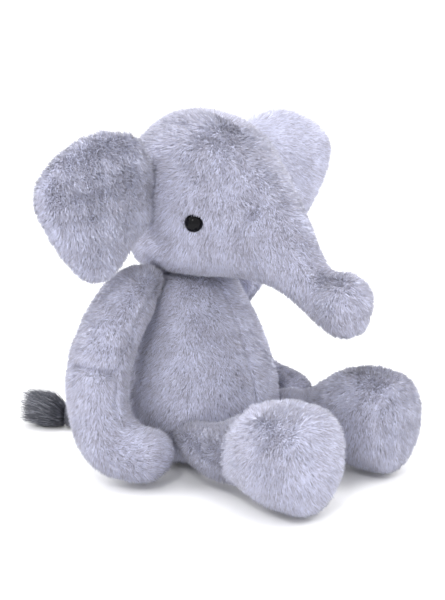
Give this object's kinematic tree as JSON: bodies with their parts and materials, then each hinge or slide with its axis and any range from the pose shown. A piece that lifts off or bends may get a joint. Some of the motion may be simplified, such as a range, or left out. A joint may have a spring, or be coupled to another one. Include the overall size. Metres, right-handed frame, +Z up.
{
  "type": "stuffed elephant",
  "caption": "Seated plush elephant with big ears, a long trunk that ends in a round tip, floppy limbs and a tufted tail; head, trunk, ears, limbs and tail all move.",
  "frame": {"origin": "middle of the flat round seat panel, on the surface that the elephant sits on", "axes": "+Z up; the elephant faces -Y; its right side is at -X"},
  "size_m": [0.324, 0.3194, 0.2703],
  "materials": {
    "plush": "short dense lilac-grey plush pile",
    "plush_light": "short dense lilac-grey plush pile, lighter where the light catches it",
    "plush_shade": "short dense lilac-grey plush pile, brushed darker",
    "stuffing": "loose white polyester fibre",
    "pellet_cotton": "plain woven cotton bag",
    "washer_plastic": "matt moulded",
    "eye_black": "high gloss",
    "tuft_hair": "long straight charcoal pile, a little shiny"
  },
  "bodies": {
    "torso": {"torso_front_right": "plush", "torso_front_left": "plush", "torso_back_right": "plush", "torso_back_left": "plush", "seat_panel": "plush_shade", "torso_stuffing": "stuffing", "pellet_bag": "pellet_cotton"},
    "neck": {"neck_stuffing": "stuffing"},
    "head": {"head_side_right": "plush", "head_side_left": "plush", "head_gusset": "plush_light", "head_chin": "plush_shade", "head_stuffing": "stuffing", "eye_right": "eye_black", "eye_left": "eye_black", "eye_washer_right": "washer_plastic", "eye_washer_left": "washer_plastic"},
    "trunk": {"trunk_side_right": "plush", "trunk_side_left": "plush", "trunk_top_gusset": "plush_light", "trunk_stuffing": "stuffing"},
    "tail": {"tail_tube": "plush", "tail_binding": "tuft_hair", "tail_tuft": "tuft_hair"},
    "ear_right": {"ear_front_right": "plush_light", "ear_back_right": "plush", "ear_batting_right": "stuffing"},
    "arm_right": {"arm_outer_right": "plush", "arm_inner_right": "plush_shade", "arm_stuffing_right": "stuffing"},
    "leg_right": {"leg_outer_right": "plush", "leg_inner_right": "plush_shade", "leg_stuffing_right": "stuffing", "foot_outer_right": "plush", "foot_inner_right": "plush_shade", "sole_right": "plush_shade", "foot_stuffing_right": "stuffing"},
    "ear_left": {"ear_front_left": "plush_light", "ear_back_left": "plush", "ear_batting_left": "stuffing"},
    "arm_left": {"arm_outer_left": "plush", "arm_inner_left": "plush_shade", "arm_stuffing_left": "stuffing"},
    "leg_left": {"leg_outer_left": "plush", "leg_inner_left": "plush_shade", "leg_stuffing_left": "stuffing", "foot_outer_left": "plush", "foot_inner_left": "plush_shade", "sole_left": "plush_shade", "foot_stuffing_left": "stuffing"}
  },
  "joints": [
    {"name": "neck_turn", "type": "hinge", "parent": "torso", "child": "neck", "pos_m": [0, 0.011, 0.14], "axis": [0, 0, 1], "range_deg": [-25, 25]},
    {"name": "head_nod", "type": "hinge", "parent": "neck", "child": "head", "pos_m": [0, 0.011, 0.146], "axis": [1, 0, 0], "range_deg": [-8, 8]},
    {"name": "trunk_lift", "type": "hinge", "parent": "head", "child": "trunk", "pos_m": [0, -0.04138, 0.191], "axis": [-1, 0, 0], "range_deg": [-8, 14]},
    {"name": "ear_right_flap", "type": "hinge", "parent": "head", "child": "ear_right", "pos_m": [-0.058, 0.007, 0.22], "axis": [0, 0, 1], "range_deg": [-20, 30]},
    {"name": "ear_left_flap", "type": "hinge", "parent": "head", "child": "ear_left", "pos_m": [0.058, 0.007, 0.22], "axis": [0, 0, -1], "range_deg": [-20, 30]},
    {"name": "arm_right_swing", "type": "hinge", "parent": "torso", "child": "arm_right", "pos_m": [-0.064, 0.012, 0.132], "axis": [-0.9296, 0.2799, -0.2399], "range_deg": [0, 75]},
    {"name": "arm_left_swing", "type": "hinge", "parent": "torso", "child": "arm_left", "pos_m": [0.064, 0.012, 0.132], "axis": [-0.8197, -0.4998, 0.2799], "range_deg": [0, 75]},
    {"name": "leg_right_lift", "type": "hinge", "parent": "torso", "child": "leg_right", "pos_m": [-0.047, -0.065, 0.027], "axis": [-1, 0, 0], "range_deg": [0, 30]},
    {"name": "leg_left_lift", "type": "hinge", "parent": "torso", "child": "leg_left", "pos_m": [0.047, -0.065, 0.027], "axis": [-1, 0, 0], "range_deg": [0, 30]},
    {"name": "tail_swing", "type": "hinge", "parent": "torso", "child": "tail", "pos_m": [-0.006, 0.066, 0.018], "axis": [0, 0, 1], "range_deg": [-30, 50]}
  ]
}
